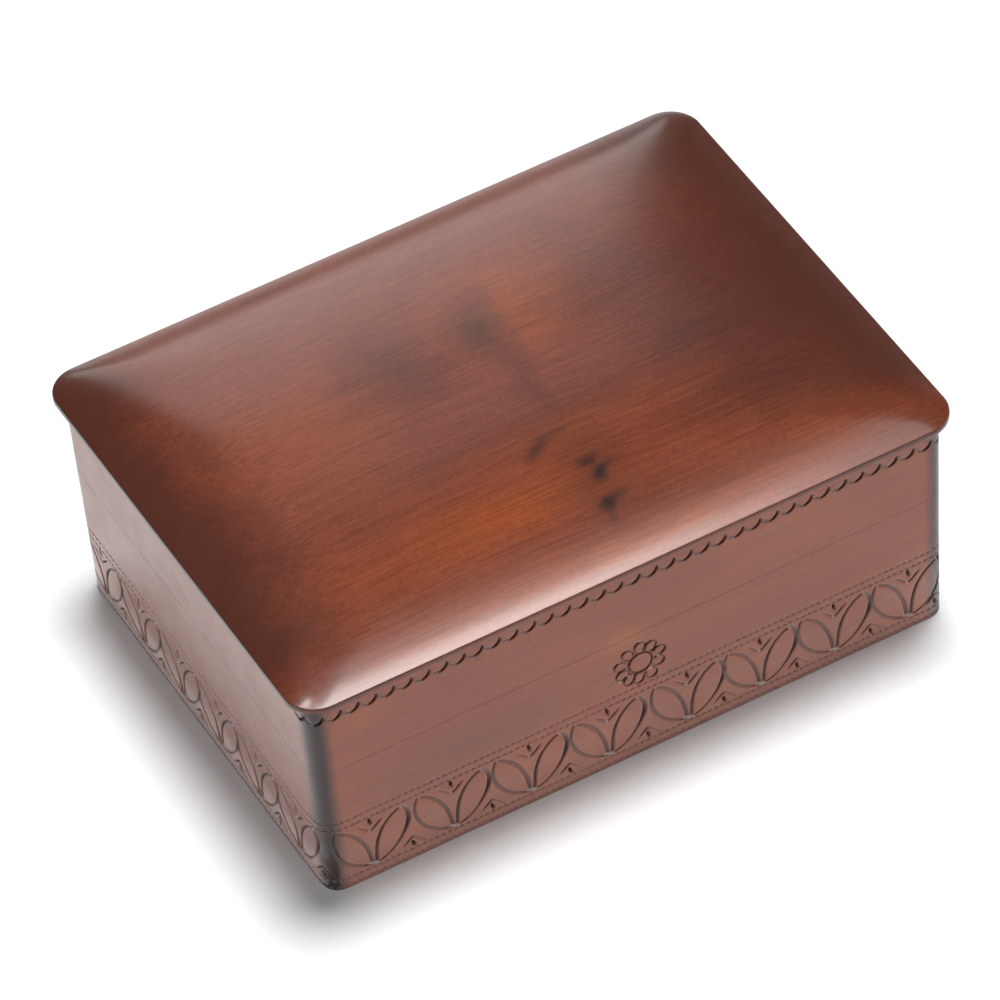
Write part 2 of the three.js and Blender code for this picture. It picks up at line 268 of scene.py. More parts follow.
def lidWood(name):
    # The lid board: warm in the middle and the front, burnt dark along both ends, with a run of knots. Noise moves
    # each place aside, so the edges of the clouds wander more and those of the knots less.
    material, tree, shader, place = newMaterial(name)
    fine, broad = woodGrain(tree, place, True)
    drift = addNode(tree, "ShaderNodeTexNoise", {"Vector": place, "Scale": 0.05, "Detail": 3.0}).outputs[1]
    centred = vectorCalc(tree, "SUBTRACT", drift, (0.5, 0.5, 0.5))
    far, near = (vectorCalc(tree, "ADD", place, vectorCalc(tree, "MULTIPLY", centred, amount))
                 for amount in ((30, 16, 0), (9, 5, 0)))
    warm = calc(tree, "MULTIPLY", spotsTogether(tree, lidFigure["warm"], far),
                smoothRange(tree, broad, 0.25, 0.70, 0.70, 1.0))
    colour = blend(tree, warm, stain["lid"], stain["lidWarm"])
    colour = blend(tree, spotsTogether(tree, lidFigure["dark"], far), colour, stain["lidDark"])
    colour = blend(tree, smoothRange(tree, broad, 0.45, 0.75, 0.0, 0.12), colour, stain["lidDark"])
    colour = streaked(tree, colour, fine, place, *streaks["lid"])
    colour = blend(tree, spotsTogether(tree, lidFigure["knot"], near), colour, stain["knot"])
    along, across, _ = addNode(tree, "ShaderNodeSeparateXYZ", {0: far}).outputs
    left, right = (smoothRange(tree, along, *reach, 0.0, lidFigure["endShare"]) for reach in lidFigure["ends"])
    ends = calc(tree, "MULTIPLY", calc(tree, "ADD", left, right, True),
                smoothRange(tree, across, *lidFigure["endFront"]))
    colour = blend(tree, ends, colour, stain["lidDark"])
    # Stain and a painted dark reflection along the rim's upper edge
    colour = blend(tree, attribute(tree, "cornerShade"), colour, stain["edge"])
    dust = addNode(tree, "ShaderNodeTexVoronoi", {"Vector": place, "Scale": 0.022}).outputs["Distance"]
    colour = blend(tree, smoothRange(tree, dust, 0.010, 0.004, 0.0, 0.8), colour, stain["speck"])
    lacquered(tree, shader, colour, fine, place, lacquer["coat"])
    return material


def panelWood(name):
    # The bottom panel: the same stain, thinner, rougher and without the lacquer's coat
    material, tree, shader, place = newMaterial(name)
    fine, broad = woodGrain(tree, place, True)
    colour = blend(tree, smoothRange(tree, broad, 0.25, 0.75), stain["wallDeep"], stain["panel"])
    colour = streaked(tree, colour, fine, place, *streaks["panel"])
    lacquered(tree, shader, colour, fine, place, 0.0, 0.15)
    return material


brass = {"clean": (0.50, 0.35, 0.16, 1), "tarnish": (0.24, 0.16, 0.08, 1), "roughness": (0.34, 0.52),
         "lineBump": 0.006}


def agedBrass(name):
    # Brass: drawn lines along the hinge, a little brown tarnish in patches
    material, tree, shader, place = newMaterial(name)
    lines = noise(tree, stretched(tree, place, (0.3, 9.0, 9.0)), 1.0, 3.0)
    patches = noise(tree, place, 0.35, 4.0, 0.6)
    setInputs(tree, shader, {
        "Base Color": blend(tree, smoothRange(tree, patches, 0.45, 0.75, 0.0, 0.7), brass["clean"], brass["tarnish"]),
        "Metallic": 1.0, "Roughness": smoothRange(tree, patches, 0.35, 0.75, *brass["roughness"]),
        "Normal": bumped(tree, calc(tree, "MULTIPLY", lines, brass["lineBump"]))})
    return material


lidMaterial = lidWood("lid_wood")
panelMaterial = panelWood("panel_wood")
brassMaterial = agedBrass("aged_brass")
print("materials made")

# Mesh helpers


def meshOf(name, points, faces):
    # A mesh from points in millimetres
    mesh = bpy.data.meshes.new(name)
    mesh.from_pydata((np.array(points) * millimetre).tolist(), [], faces)
    return mesh


def makePiece(name, points, faces, material, body, node, shades=None, flatFaces=()):
    # A piece that rides on its body and stands for its CAD node; shades are values that its points carry
    mesh = meshOf(name, points, faces)
    smooth = np.ones(len(faces), bool)
    smooth[list(flatFaces)] = False
    mesh.polygons.foreach_set("use_smooth", smooth)
    for shade, values in (shades or {}).items():
        layer = mesh.attributes.new(shade, "FLOAT", "POINT")
        layer.data.foreach_set("value", values.astype(np.float32))
    mesh.materials.append(material)
    piece = addObject(name, mesh)
    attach(piece, body)
    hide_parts(node)
    return piece


def sleeve(rings, count):
    # Quads between each ring of points and the next, shaped (rings - 1, points in a ring, 4)
    start, step = np.arange(rings - 1)[:, None] * count, np.arange(count)
    a, b = start + step, start + (step + 1) % count
    return np.stack([a, a + count, b + count, b], -1)


def endFaces(rings, count):
    # The flat faces that close the first and the last ring
    last = (rings - 1) * count
    return [list(range(count)), list(range(last, last + count))[::-1]]


def tube(points):
    # Faces of a closed stack of rings, points shaped (rings, points in a ring, 3)
    rings, count = points.shape[:2]
    return sleeve(rings, count).reshape(-1, 4).tolist() + endFaces(rings, count)


def aboutUpright(angle):
    # The matrix that turns rows of points about the upright
    c, s = math.cos(angle), math.sin(angle)
    return np.array([[c, s, 0], [-s, c, 0], [0, 0, 1]])


def softStep(share):
    # 3 share^2 - 2 share^3, from 0 to 1 with level ends
    share = np.clip(share, 0, 1)
    return share ** 2 * (3 - 2 * share)


def summed(steps):
    # The sums of the first none, one, two and so on of a row of steps
    return np.concatenate([[0], np.cumsum(steps)])


def cutAway(piece, cutters):
    # Cuts closed solids out of a piece, for good
    for cutter in cutters:
        change = piece.modifiers.new("cut", "BOOLEAN")
        change.operation, change.solver, change.object = "DIFFERENCE", "EXACT", cutter
    ready = bpy.context.evaluated_depsgraph_get()
    cut = bpy.data.meshes.new_from_object(piece.evaluated_get(ready))
    piece.modifiers.clear()
    piece.data = cut
    for cutter in cutters:
        bpy.data.objects.remove(cutter)


def blockCutter(low, high, place=(0, 0, 0), turn=0.0):
    # A block between two corners, turned about the upright and then moved to a place
    corners = np.stack(np.meshgrid(*zip(low, high), indexing="ij"), -1).reshape(-1, 3)
    faces = [[0, 1, 3, 2], [4, 6, 7, 5], [0, 4, 5, 1], [2, 3, 7, 6], [0, 2, 6, 4], [1, 5, 7, 3]]
    return addObject("cutter", meshOf("cutter", corners @ aboutUpright(turn) + place, faces))


def turnedSolid(profile, place, axis, count=40):
    # A profile of (radius, distance along the axis) turned about the axis through a place
    angle = np.linspace(0, 2 * np.pi, count, endpoint=False)
    radius, along = np.array(profile, float).T
    ring = np.stack([radius[:, None] * np.cos(angle), radius[:, None] * np.sin(angle),
                     np.repeat(along[:, None], count, 1)], -1)
    turn = np.array(Vector((0, 0, 1)).rotation_difference(Vector(axis)).to_matrix())
    return ring.reshape(-1, 3) @ turn.T + place, [f[::-1] for f in tube(ring)]


def turnedCutter(profile, place, axis):
    # A turned solid to cut with
    return addObject("cutter", meshOf("cutter", *turnedSolid(profile, place, axis)))


# The carved case

case = {"width": 250.0, "depth": 182.0, "height": 94.5, "thickness": 10.0, "lean": 1.6, "cornerReach": 9.0,
        "seam": 60.0, "mitreGap": 0.004, "edgeRound": 0.22, "seamRound": 0.07, "arris": 0.25, "innerStart": 12.0,
        "grooveReach": 6.0, "grooveLow": 6.0, "grooveHigh": 10.3, "grooveMargin": 0.4,
        "bandLow": 1.0, "bandHigh": 35.8, "scallopLow": 84.2, "scallopHigh": 89.4,
        # How far apart the points stand: columns of both courses, rows of the band, the fine carving and the rest
        "lowerColumn": 0.37, "upperColumn": 0.26, "closeRow": 0.22, "openRow": 0.42, "fineRow": 0.24, "plainRow": 4.5}

# The middles of the leaf pairs along each wall, how far the marks between them stand from the middle of the gap,
# how far the last mark stands from the mitre, and how far each kind of mark reaches sideways
leafRows = {"long": (-107.0, -75.0, -44.0, -12.8, 19.3, 48.8, 79.0, 109.4),
            "short": (-76.3, -46.9, -17.2, 11.6, 41.2, 70.6), "cornerMark": 3.0, "betweenShift": -0.5,
            "leafReach": 17.5, "betweenReach": 6.0}

# Cuts of one leaf pair about its middle: points along the cut, half widths along it, depth, 1 for a V and 2 for a U
leafCuts = [
    (((0.9, 7.0), (1.3, 11.4), (1.7, 15.4), (3.1, 19.6), (6.1, 24.6), (8.7, 26.9), (11.3, 28.3)),
     (0.74, 0.74, 0.66, 0.56, 0.48), 0.95, 2),
    (((12.4, 28.7), (14.2, 25.6), (14.9, 21.6), (13.5, 17.4), (11, 13.4), (7.5, 9.4), (4.2, 7.2), (1.4, 6.5)),
     (0.64, 1.05, 1.02, 0.72, 0.56, 0.48, 0.44), 0.95, 2),
    (((-0.9, 7.0), (-1.4, 11.4), (-2.2, 15.4), (-3.9, 19.6), (-6.9, 24.4), (-9.5, 27.0), (-12.1, 28.5)),
     (0.84, 0.84, 0.78, 0.70, 0.50), 0.95, 2),
    (((-13.6, 28.6), (-14.6, 25.2), (-14.7, 21.6), (-13.4, 16.6), (-10.9, 12.6), (-7, 9.2), (-3.4, 7.2), (-1, 6.4)),
     (0.48, 0.70, 0.80, 0.70, 0.60, 0.54), 0.90, 2),
    (((-4.9, 27.6), (-3.4, 26.3), (-2, 24.8), (-0.9, 23.7)), (0.34, 0.54, 0.60, 0.50), 0.62, 1),
    (((0.1, 23.5), (1.4, 24.5), (2.9, 25.9), (4.4, 27.3)), (0.50, 0.56, 0.56, 0.34), 0.90, 1),
    (((-0.4, 29.2), (-0.3, 28.5), (0.0, 27.5), (0.4, 26.2)), (0.60, 0.80, 0.66, 0.25), 2.2, 1),
]
betweenCuts = [
    (((-0.1, 11.0), (-1.4, 10.0), (-2.7, 8.9), (-4.1, 7.7)), (0.50, 0.56, 0.50, 0.26), 0.85, 1),
    (((0.2, 11.0), (1.6, 9.6), (3.1, 7.9), (4.6, 6.3)), (0.54, 0.54, 0.48, 0.24), 0.55, 1),
    (((-0.4, 8.5), (-0.2, 7.8), (0.1, 6.9), (0.5, 5.8)), (0.58, 0.78, 0.64, 0.25), 2.2, 1),
]
# Nicks: where, half length, reach above and below its line, depth, slant. The long lower side catches the light.
leafNicks = [((-0.3, 7.1), 2.4, 0.4, 1.0, 1.25, -0.12), ((-0.5, 23.9), 0.7, 0.3, 0.7, 0.8, 0.0),
             ((12.0, 28.5), 0.8, 0.3, 0.7, 0.8, -0.5)]
dashes = {"heights": (33.9, 30.6, 5.0, 1.6), "pitch": 2.5, "nick": (0.8, 0.3, 0.7, 0.8, 0.16), "paintedGlint": 0.3,
          "line": 0.10, "lineReach": 0.4, "faintAt": -25.0, "faint": 0.42, "faintReach": 60.0,
          "close": (33.9, 30.6, 6.6, 5.0, 1.6), "closeReach": 0.8}  # heights with close rows of points
# Arcs: where the first stands from the middle, how many steps to the last, and where the one at the mitre stands
scallops = {"long": (122.5, 36, 122.5), "short": (83.6, 24, 90.7), "bottom": 85.0, "radius": 3.35, "faint": 0.35,
            "widths": (0.36, 1.0), "below": 0.5, "depth": 1.0, "lip": 0.3, "hollow": 0.25, "hollowReach": 1.8,
            "nickAt": (-1.2, 85.4), "nick": (1.0, 0.35, 0.8, 0.9, -0.14), "paintedGlint": 0.55}
rosette = {"middle": (1.25, 44.9), "ring": 4.65, "ringWidths": (0.44, 0.80), "thickAt": 200.0,
           "petalAngles": (89, 54, 16, -21, -60, -97, -127, -161, 165, 128),
           "petalMiddles": (7.6, 7.4, 7.9, 7.5, 8.2, 7.2, 7.7, 7.8, 8.1, 7.9), "petalOut": 2.45, "petalAcross": 2.1,
           "widths": (0.34, 0.66), "bend": 2.45, "depth": 0.95, "power": 1.5, "reach": 11.6, "low": 34.6,
           # Where highlights are painted on the carving, how pale, and half length, above, below, depth, slant of such
           # a place
           "glints": ((1.4, 50.7), (1.3, 56.0), (-3.9, 54.3), (-7.0, 49.7), (8.6, 50.1), (8.3, 44.8), (5.1, 40.6),
                      (-3.7, 41.2), (-7.1, 40.3), (6.2, 49.6)), "paintedGlint": 0.8, "glint": (0.9, 0.3, 0.9, 0.8, -0.25)}

# The left wall's band was marked out a little lower: how far each height sits down, from 14 mm off the corner
sag = {"wall": "left", "heights": (0, 2, 5.4, 7, 29, 31, 34.2, 45, 60),
       "down": (0, 0, 0.9, 1.4, 2.0, 2.1, 1.7, 0.8, 0), "reach": 14.0}

# Darker on the right and left upright corners, edge stain and painted shade (reach, fade); a dark joint line along the
# seam and painted shade along the foot (share, reach)
stainAndShade = {"corners": ((8.6, 6.8), (7.6, 5.8)), "seam": (0.25, 0.2), "foot": (0.3, 0.4)}


def smoothPath(points, count=22):
    # A curve near a few marked points: x and z are each a quartic of the way along them, fitted to the points
    p = np.array(points, float)
    way = summed(np.hypot(*np.diff(p, axis=0).T))
    t = np.linspace(0, way[-1], count)
    degree = min(4, len(p) - 1)
    return np.stack([np.polyval(np.polyfit(way, p[:, k], degree), t) for k in (0, 1)], -1)


def cutAlong(depth, across, up, path, halfWidths, deep, power):
    # Deepest on the path, rising as 1 - s^power to the surface at the half width: a V for 1, a round U for 2
    start, step = path[:-1], np.diff(path, axis=0)
    wide = np.interp(np.linspace(0, 1, len(path)), np.linspace(0, 1, len(halfWidths)), halfWidths)
    dx = across[:, :, None] - start[:, 0]
    dz = up[:, :, None] - start[:, 1]
    t = np.clip((dx * step[:, 0] + dz * step[:, 1]) / (step ** 2).sum(1), 0, 1)
    away = np.hypot(dx - t * step[:, 0], dz - t * step[:, 1])
    half = wide[:-1] * (1 - t) + wide[1:] * t
    cut = deep * half / max(halfWidths) * (1 - np.clip(away / half, 0, 1) ** power)
    return np.maximum(depth, cut.max(-1))


def nickDepth(across, up, nick):
    # A nick as deep x (1 - root(along^4 + off^2)), off growing faster on its short upper side
    halfLength, above, below, deep, slant = nick
    along = np.clip(across / halfLength, -2, 2)
    off = up - across * slant
    off = np.where(off > 0, off / above, -off / below)
    return deep * np.clip(1 - np.sqrt(along ** 4 + off ** 2), 0, 1)


def paintGlint(paintedGlint, where, strength, across, up, nick):
    # A painted highlight low on a nick: strength x 1.6 x (1 - root(along^4 + off^2)), at most the
    # strength, off measured from a line on the nick's lower side
    halfLength, _, below, _, slant = nick
    off = (up - across * slant + 0.7 * below) / (0.5 * below)
    pale = np.clip(1.6 - 1.6 * np.hypot((across / halfLength) ** 2, off), 0, 1)
    paintedGlint[where] = np.maximum(paintedGlint[where], strength * pale)


def carveUnit(depth, paintedGlint, u, z, middle, cuts, nicks, reach):
    # All cuts of one mark, worked on the columns near it only
    columns = np.abs(u - middle) < reach
    if not columns.any():
        return
    rows = (z > case["bandLow"]) & (z < case["bandHigh"])
    across, up = np.meshgrid(u[columns] - middle, z[rows], indexing="ij")
    where = np.ix_(columns, rows)
    part = depth[where]
    for points, *cut in cuts:
        part = cutAlong(part, across, up, smoothPath(points), *cut)
    for (atU, atZ), *nick in nicks:
        part = np.maximum(part, nickDepth(across - atU, up - atZ, nick))
        # A painted highlight low on each nick
        paintGlint(paintedGlint, where, 1.0, across - atU, up - atZ, nick)
    depth[where] = part


def carveDashes(depth, paintedGlint, u, z):
    # Four lines of nicks left by a toothed wheel, fainter near one place, with a shallow line joining them
    for line, height in enumerate(dashes["heights"]):
        rows = np.abs(z - height) < 1.0
        across, up = np.meshgrid(u, z[rows] - height, indexing="ij")
        away = ((across / dashes["pitch"] + 0.5 * (line % 2) + 0.5) % 1.0 - 0.5) * dashes["pitch"]
        firm = np.clip(np.abs(across - dashes["faintAt"]) / dashes["faintReach"], 0, 1)
        nick = nickDepth(away, up, dashes["nick"]) * np.interp(firm, (0, 1), (dashes["faint"], 1))
        # Painted highlights low on the nicks, strongest away from the faint place
        paintGlint(paintedGlint, np.s_[:, rows], dashes["paintedGlint"] * firm ** 2, away, up, dashes["nick"])
        nick = np.maximum(nick, dashes["line"] * np.clip(1 - np.abs(up) / dashes["lineReach"], 0, 1))
        depth[:, rows] = np.maximum(depth[:, rows], nick)


def strokeShading(depth, u, z):
    # 1 where a stroke rises to the right, 0 where it falls: 0.65 - (du x dz) / (du^2 + dz^2) of the depth, both
    # terms averaged over a few points round about; the deepest marks, from 1 mm on, are 1 as well
    # 1 gets painted shade and 0 a painted grey reflection in the cuts
    du, dz = np.gradient(depth, u, axis=0), np.gradient(depth, z, axis=1)
    both, total = du * dz, du ** 2 + dz ** 2
    for axis in (0, 0, 1, 1):
        both, total = (sum(np.roll(a, k, axis) for k in (-1, 0, 1)) / 3 for a in (both, total))
    return np.maximum(np.clip(0.65 - both / (total + 0.02), 0, 1), np.clip((depth - 1.0) / 0.25, 0, 1))


def cutShade(depth, tone):
    # How dark a cut is painted, stain gathered there and painted shade together: (depth / full depth)^0.8, full at 0.80
    # mm, or 0.55 mm in the dark strokes
    return np.clip(depth / (0.80 - 0.25 * tone), 0, 1) ** 0.8


def carveScallops(depth, paintedGlint, u, z, places):
    # Gouge arcs side by side, bottoms at one height: a cut along each arc, thicker and deeper up its right arm,
    # and a hollow inside it that rises in a straight line to the surface
    rows = z > case["scallopLow"]
    across, up = np.meshgrid(u, z[rows], indexing="ij")
    local = across - places[np.argmin(np.abs(u[:, None] - places), 1)][:, None]
    centre = scallops["bottom"] + scallops["radius"]
    outside = np.hypot(local, up - centre) - scallops["radius"]
    half = np.interp(0.4 + local / 3, (0, 1), scallops["widths"])
    firm = np.interp(0.4 + local / 2, (0, 1), (scallops["faint"], 1))
    away = np.where(outside > 0, outside / scallops["below"], -outside / half)
    cut = scallops["depth"] * firm * (1 - np.clip(away, 0, 1))
    hollow = scallops["hollow"] * np.clip(1 + outside / scallops["hollowReach"], 0, 1) * (outside < 0)
    lower = np.clip((centre + scallops["lip"] - up) / scallops["lip"], 0, 1)  # the arcs end at their centres' height
    besideNick, overNick = local - scallops["nickAt"][0], up - scallops["nickAt"][1]
    nick = nickDepth(besideNick, overNick, scallops["nick"])
    # A painted highlight low on each arc's nick
    paintGlint(paintedGlint, np.s_[:, rows], scallops["paintedGlint"], besideNick, overNick, scallops["nick"])
    depth[:, rows] = np.maximum(depth[:, rows], np.maximum(np.maximum(cut, hollow) * lower, nick))


def carveRosette(depth, across, up):
    # A ring, thicker at the lower left, and round it petals that are each an oval cut open to the ring, as wide
    # as low + (high - low) x (0.5 + 0.5 sin(2 x direction)): widest where it rises to the right
    x, z = across - rosette["middle"][0], up - rosette["middle"][1]
    away = np.abs(np.hypot(x, z) - rosette["ring"])
    thick = 0.5 + 0.5 * np.cos(np.arctan2(z, x) - math.radians(rosette["thickAt"]))
    half = np.interp(thick, (0, 1), rosette["ringWidths"])
    depth = np.maximum(depth, rosette["depth"] * (1 - np.clip(away / half, 0, 1) ** rosette["power"]))
    bend = np.linspace(-rosette["bend"], rosette["bend"], 25)
    for angle, middle in zip(rosette["petalAngles"], rosette["petalMiddles"]):
        turn = math.radians(angle)
        outward = middle + rosette["petalOut"] * np.cos(bend)
        sideways = rosette["petalAcross"] * np.sin(bend)
        path = np.stack([outward * math.cos(turn) - sideways * math.sin(turn),
                         outward * math.sin(turn) + sideways * math.cos(turn)], -1)
        stepX, stepZ = np.gradient(path, axis=0).T
        widths = np.interp(0.5 + 0.5 * np.sin(2 * np.arctan2(stepZ, stepX)), (0, 1), rosette["widths"])
        depth = cutAlong(depth, x, z, path, widths, rosette["depth"], rosette["power"])
    return depth


def cornerCurve():
    # The round from the straight to the mitre, where the wall has turned by 45 degrees: with t the share of the
    # way, the turn is 45 x (t - sin(pi t) / pi), and x and y are its summed cosines and sines
    t = np.linspace(0, 1, 241)
    turned = math.pi / 4 * (t - np.sin(math.pi * t) / math.pi)
    middle = (turned[1:] + turned[:-1]) / 2
    way = t * case["cornerReach"]
    along, across = (summed(f(middle) * np.diff(way)) for f in (np.cos, np.sin))
    return way, turned, along, across


corner = cornerCurve()


def straightEnd(halfSpan):
    # Where a wall's straight part ends, so that the round meets the next wall's on the diagonal
    return halfSpan - corner[2][-1] - corner[3][-1]


def outerFace(halfSpan, halfCross, u, z):
    # The wall's outer face in its own frame: straight, then the round to the mitre, leaning in to the foot
    straight = straightEnd(halfSpan)
    lean = case["lean"] * (1 - z / case["height"])
    side, past = np.sign(u), np.clip(np.abs(u) - straight, 0, None)
    angle, along, across = (np.interp(past, corner[0], part) for part in corner[1:])
    x = side * np.where(past > 0, straight - lean + along, np.abs(u) * (straight - lean) / straight)
    y = -halfCross + lean + across
    return x, y, side * np.sin(angle), -np.cos(angle)


def gradedRows(low, high, step):
    # Even rows, about a step apart
    return np.linspace(low, high, max(2, round((high - low) / step) + 1))


def bandRows():
    # Rows of the carved band, close together near a line of nicks and more open elsewhere: the row number is the
    # sum of 1 / spacing along the height
    fine = np.linspace(case["bandLow"], case["bandHigh"], 3000)
    near = np.abs(fine[:, None] - np.array(dashes["close"])).min(1) < dashes["closeReach"]
    number = np.cumsum(1 / np.where(near, case["closeRow"], case["openRow"])) * (fine[1] - fine[0])
    return np.interp(np.arange(number[0], number[-1], 1.0), number, fine)


def boardRows(upper):
    # Heights of a board's rows, closer in the carving and beside the edges, whose rounds are small
    seam, height, plain = case["seam"], case["height"], case["plainRow"]
    if upper:
        fine = gradedRows(case["scallopLow"], case["scallopHigh"], case["fineRow"])
        parts = ([seam, seam + 0.06, seam + 0.2, seam + 0.8], gradedRows(seam + 4, fine[0] - 1, plain), fine,
                 [90, 92, height - 0.8, height - 0.4, height - 0.2, height - 0.06, height])
    else:
        fine = bandRows()
        parts = ([0.0, 0.06, 0.2, 0.5], fine, gradedRows(fine[-1] + 1, seam - 3, plain),
                 [seam - 0.8, seam - 0.2, seam - 0.06, seam])
    return np.concatenate(parts)


def carveBoard(kind, upper, wholeLength, u, z):
    # How deep the outer face is cut at each point, and how strongly a highlight is painted there
    depth, paintedGlint = np.zeros((2, len(u), len(z)))
    if upper:
        first, count, beyond = scallops[kind]
        places = np.unique(np.concatenate([[-beyond], np.linspace(-first, first, count + 1), [beyond]]))
        carveScallops(depth, paintedGlint, u, z, places)
        return depth, paintedGlint
    middles, atEnd = np.array(leafRows[kind]), leafRows["cornerMark"]
    between = (middles[1:] + middles[:-1]) / 2 + leafRows["betweenShift"]
    for middle in middles:
        carveUnit(depth, paintedGlint, u, z, middle, leafCuts, leafNicks, leafRows["leafReach"])
    for middle in (*between, wholeLength - atEnd, -wholeLength - atEnd):
        carveUnit(depth, paintedGlint, u, z, middle, betweenCuts, (), leafRows["betweenReach"])
    carveDashes(depth, paintedGlint, u, z)
    return depth, paintedGlint


def boardInside(halfSpan, halfCross, u, low, high, upper):
    # The section behind the outer face, from its top over and down to its foot, with the panel's groove in the
    # lower boards. Each row is told by how far it lies behind the wall's outer plane. The inner face ends sooner
    # than the outer one: its columns close up over the last stretch before the mitre.
    thick, arris = case["thickness"], case["arris"]
    back = [(thick - arris, high), (thick, high - arris)]
    if not upper:
        reach, bottom, top, margin = (case["groove" + part] for part in ("Reach", "Low", "High", "Margin"))
        back += [(thick, top + margin), (thick, top), (reach, top), (reach, bottom), (thick, bottom),
                 (thick, bottom - margin)]
    back += [(thick, low + arris), (thick - arris, low)]
    behind, z = np.array(back, float).T
    fullX, fullY, _, _ = outerFace(halfSpan, halfCross, u, np.full(len(u), case["height"]))
    start = straightEnd(halfSpan) - case["innerStart"]
    innerEnd = halfSpan - thick - case["mitreGap"] / math.sqrt(2)
    share = np.clip((np.abs(u) - start) / (u[-1] - start), 0, 1)
    innerX = np.sign(u) * np.where(share > 0, start + share * (innerEnd - start), np.abs(u))
    innerY = thick - halfCross
    y, z = (np.repeat(row[None, :], len(u), 0) for row in (behind - halfCross, z))
    x = innerX[:, None] + (fullX - innerX)[:, None] * (y - innerY) / (fullY[:, None] - innerY)
    return np.stack([x, y, z], -1)


def wallBoard(name, wall, turn, upper):
    # The board's section is a closed ring of rows: up the carved face, over, down the inside and back.
    # The ring is carried along the wall from mitre to mitre.
    alongX = turn % 2 == 0
    halfSpan, halfCross = (case["width"] / 2, case["depth"] / 2)[::1 if alongX else -1]
    low, high = (case["seam"], case["height"]) if upper else (0.0, case["seam"])
    wholeLength = straightEnd(halfSpan) + case["cornerReach"]
    halfLength = wholeLength - case["mitreGap"] / 2
    column = case["upperColumn"] if upper else case["lowerColumn"]
    atMitre = halfLength - np.array([0.06, 0.14, 0.25])  # short last columns keep the round unbroken at the mitre
    u = np.linspace(-halfLength, halfLength, round(2 * halfLength / column) + 1)
    u = np.unique(np.concatenate([-atMitre, u, atMitre]))
    z = boardRows(upper)
    depth, paintedGlint = carveBoard("long" if alongX else "short", upper, wholeLength, u, z)
    uu, zz = np.meshgrid(u, z, indexing="ij")
    if wall == sag["wall"] and not upper:
        zz = zz - softStep((wholeLength - uu) / sag["reach"]) * np.interp(zz, sag["heights"], sag["down"])
    x, y, nx, ny = outerFace(halfSpan, halfCross, uu, zz)
    topRound, footRound = (case["edgeRound"], case["seamRound"])[::1 if upper else -1]
    inward = depth + sum(size * np.clip(1 - off / size, 0, 1) ** 2 for size, off in (
        (topRound, high - zz), (footRound, zz - low)))
    outer = np.stack([x - nx * inward, y - ny * inward, zz], -1)
    ring = np.concatenate([outer, boardInside(halfSpan, halfCross, u, low, high, upper)], 1)
    columns, count = ring.shape[:2]
    points, tone = ring.reshape(-1, 3), strokeShading(depth, u, z)
    # Edge stain and painted shade on the upright corners, painted shade along the foot and a dark joint line along the
    # seam
    fromMitre = np.abs(np.abs(uu) - wholeLength)
    edge = softStep(np.where(uu > 0, *((reach - fromMitre) / fade for reach, fade in stainAndShade["corners"])))
    lines = sum(share * np.exp(-((zz - at) / reach) ** 2) for at, (share, reach) in (
        (case["seam"], stainAndShade["seam"]), (0.0, stainAndShade["foot"])))
    shades = {"cutShade": cutShade(depth, tone), "cutShadedStroke": tone, "cutPaintedGlint": paintedGlint,
              "cornerShade": np.maximum(edge, lines)}
    shades = {key: np.pad(shade, ((0, 0), (0, count - len(z)))).ravel() for key, shade in shades.items()}
    keep, others = np.ones((columns - 1, count), bool), []
    if wall == "front" and not upper:
        patch, patchShades = rosettePatch(u, z, count, len(points), keep, others, halfSpan, halfCross)
        points = np.concatenate([points, patch])
        shades = {key: np.concatenate([shade, patchShades[key]]) for key, shade in shades.items()}
    faces = sleeve(columns, count)[keep].tolist() + others + endFaces(columns, count)
    print(name, "carved,", sum(len(f) - 2 for f in faces), "triangles")
    return makePiece(name + "_carved", points @ aboutUpright(turn * math.pi / 2), faces,
                     wallAlongX if alongX else wallAlongY, "case", name, shades, (-2, -1))


